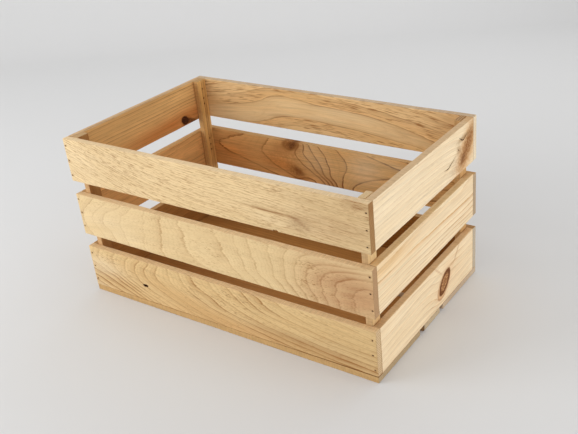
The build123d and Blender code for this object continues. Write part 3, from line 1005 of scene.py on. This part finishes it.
def ring_attributes(board, style, places):
    """The ring number at each place, the rings per millimetre there, and the fibres' height."""
    rings = style["rings"] or log_of(board)
    stops = np.linspace(-SLOPE_REACH, SLOPE_REACH, 121)
    angles = np.interp(stops, *zip(*style["slope"]))
    rise = np.concatenate([[0], np.cumsum(np.tan(np.radians(angles[1:])) * np.diff(stops))])

    def fibres(at):
        return flow_round(at, style["knots"]) - np.interp(at[:, 0], stops, rise)

    def field(at):
        return rings(np.column_stack([at[:, 0], fibres(at)]) if style["follow"] else at, places[:, 2])

    at = places[:, :2]
    along_step, across_step = (field(at + step) - field(at - step)
                               for step in (np.array([0.5, 0]), np.array([0, 0.5])))
    return field(at), np.clip(np.hypot(along_step, across_step), 0.01, 1), fibres(at)


def patch_amounts(style, places, nails):
    """How much of each kind of patch is at each place, with dirt round the brads."""
    amounts = {kind: np.zeros(len(places)) for kind in ("tone", "bold", "dusk", "fade", "fleck")}
    for kind, patches in style["patches"].items():
        for x, y, length, width, angle, amount in patches:
            u, v = turned(places, (x, y), (length, width), angle)
            amounts[kind] += amount * np.exp(-u * u - v * v)
    for place in nails:
        near = np.hypot(*(places[:, :2] - place).T) < DIRT_R
        amounts["dusk"] = np.maximum(amounts["dusk"], style["halo"] * near)
    return amounts


def build(node):
    """One board: its mesh, its holes and damage, the attributes that carry its grain, and its pine."""
    board = board_of(node)
    style = LOOKS[node]
    # The inner faces of these boards keep their looks, painted shade on the low ones; their outer faces get
    # plain pine
    if node.startswith(("back_slat", "left_slat", "floor")):
        style = look(style, outside=OUTER_EARLY)
    board.trim(SHORT_WALL_TRIM if node.startswith(("left", "right")) else 0.0, style["behind"])
    wood, nails = cut_board(board, style["grow"])
    mesh = wood.data
    points = np.empty(len(mesh.vertices) * 3)
    mesh.vertices.foreach_get("co", points)
    points = points.reshape(-1, 3) / MM
    places = board.from_row(points)
    ring, per_mm, fibre = ring_attributes(board, style, places)
    amounts = patch_amounts(style, places, nails)
    flecks = np.clip(style["flecks"] + amounts["fleck"], 0, 1)
    if style["plain_inside"]:
        outside = np.clip((ring - FLECKS_FROM) / FLECKS_BLEND, 0, 1)
        flecks *= np.maximum(outside, 0.04)
        amounts["tone"] += style["plain_inside"] * outside * np.clip((2.6 - ring) / 1.6, 0.3, 1)
    # Points that are inside the plank are on the wall of a hole, a crack or a knot hole, and get painted
    # shade
    inside = np.minimum(points - board.low, board.high - points).min(1)
    pit_shade = np.clip((inside - PIT_START) / PIT_BLEND, 0, 1)
    attributes = {
        "rings": (ring, per_mm, amounts["bold"]),
        "place": places.T,
        "grain": (places[:, 0], fibre, places[:, 2]),
        "marks": (np.clip(amounts["tone"], 0, 1), flecks, pit_shade),
        "shades": (amounts["dusk"], amounts["fade"], np.zeros(len(points))),
    }
    for name, columns in attributes.items():
        layer = mesh.attributes.new(name, "FLOAT_VECTOR", "POINT")
        layer.data.foreach_set("vector", np.column_stack(columns).astype(np.float32).ravel())
    mesh.shade_smooth()
    mesh.set_sharp_from_angle(angle=math.radians(40))
    axis = {"along": tuple(float(i == board.along) for i in range(3)),
            "across": tuple(float(i == board.across) for i in range(3))}
    mesh.materials.clear()
    mesh.materials.append(pine(node + "_pine", style, axis))
    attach(wood, "root")
    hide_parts(node)
    kind = node.split("_")[0] + "_pine" if node.startswith(("post", "floor")) else "slat_pine"


for cad_node in sorted(LOOKS):
    build(cad_node)
shaded_brad_metal = steel()
for cad_node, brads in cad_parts.items():
    if cad_node.endswith("_brads"):
        brads.data.materials.clear()
        brads.data.materials.append(shaded_brad_metal)


# ------------------------------------------------------------------ floor, lights and camera

PAPER = (0.733, 0.733, 0.733, 1)
SWEEP_TURN = 34         # degrees that the paper is turned to face the camera
CRATE_MIDDLE = Vector((0, 0, 0.12))
ROOM_LIGHT = 0.69


def backdrop():
    """A pale paper sweep: a floor that curves up into a wall far behind."""
    width, front, back, radius, height = 4.0, -2.2, 1.3, 0.5, 2.2
    profile = [(front, 0.0)] + [
        (back + radius * math.sin(t), radius - radius * math.cos(t))
        for t in np.linspace(0, math.pi / 2, 24)] + [(back + radius, height)]
    turn = Matrix.Rotation(math.radians(SWEEP_TURN), 3, "Z")
    points = [turn @ Vector((side * width, y, z)) for side in (-1, 1) for y, z in profile]
    count = len(profile)
    faces = [(i, i + count, i + count + 1, i + 1) for i in range(count - 1)]
    mesh = bpy.data.meshes.new("backdrop")
    mesh.from_pydata(points, [], faces)
    mesh.shade_smooth()
    sweep = bpy.data.objects.new("backdrop", mesh)
    bpy.context.scene.collection.objects.link(sweep)
    paper, tree = new_material("paper")
    set_surface(tree, {"Base Color": PAPER, "Roughness": 0.9, "Specular IOR Level": 0.1})
    mesh.materials.append(paper)


def area_light(name, place, size, power):
    """A soft lamp that faces the crate's middle."""
    data = bpy.data.lights.new(name, "AREA")
    data.shape = "RECTANGLE"
    data.size, data.size_y = size
    data.energy = power
    lamp = bpy.data.objects.new(name, data)
    bpy.context.scene.collection.objects.link(lamp)
    lamp.location = place
    lamp.rotation_euler = (CRATE_MIDDLE - Vector(place)).to_track_quat("-Z", "Y").to_euler()


def lights():
    """A large soft lamp from the front left, a weaker one from the right, faint fills, and a white room."""
    area_light("key", (-1.3, -1.3, 0.75), (1.2, 1.2), 16.8)
    area_light("side", (1.7, 0.1, 0.32), (1.2, 0.64), 7.0)
    area_light("left", (-1.7, -0.1, 0.9), (1.2, 1.2), 1.2)
    area_light("back", (0.0, 1.25, 1.1), (1.6, 0.9), 3.3)
    area_light("overhead", (0.0, 0.1, 2.2), (1.6, 1.6), 1.3)
    world = bpy.data.worlds.new("room")
    world.use_nodes = True
    background = world.node_tree.nodes["Background"]
    background.inputs["Color"].default_value = (1.0, 1.0, 1.0, 1)
    background.inputs["Strength"].default_value = ROOM_LIGHT
    bpy.context.scene.world = world


def camera():
    """Looks down at the crate's front right corner, slightly rolled, from the photographer's height."""
    position = Vector((0.67249, -0.82888, 0.65874))
    yaw, pitch, roll = (math.radians(a) for a in (34.043, 27.676, -4.529))
    back = Vector((math.sin(yaw) * math.cos(pitch), -math.cos(yaw) * math.cos(pitch), math.sin(pitch)))
    right = (-back).cross(Vector((0, 0, 1))).normalized()
    up = right.cross(-back)
    rolled_right = math.cos(roll) * right + math.sin(roll) * up
    rolled_up = -math.sin(roll) * right + math.cos(roll) * up
    data = bpy.data.cameras.new("camera")
    data.sensor_width = 36
    data.lens = 50.602
    data.shift_x = -0.08988
    view = bpy.data.objects.new("camera", data)
    bpy.context.scene.collection.objects.link(view)
    turn = Matrix((rolled_right, rolled_up, back)).transposed()
    view.matrix_world = Matrix.Translation(position) @ turn.to_4x4()
    bpy.context.scene.camera = view


backdrop()
lights()
camera()
bpy.context.scene.view_settings.view_transform = "Standard"
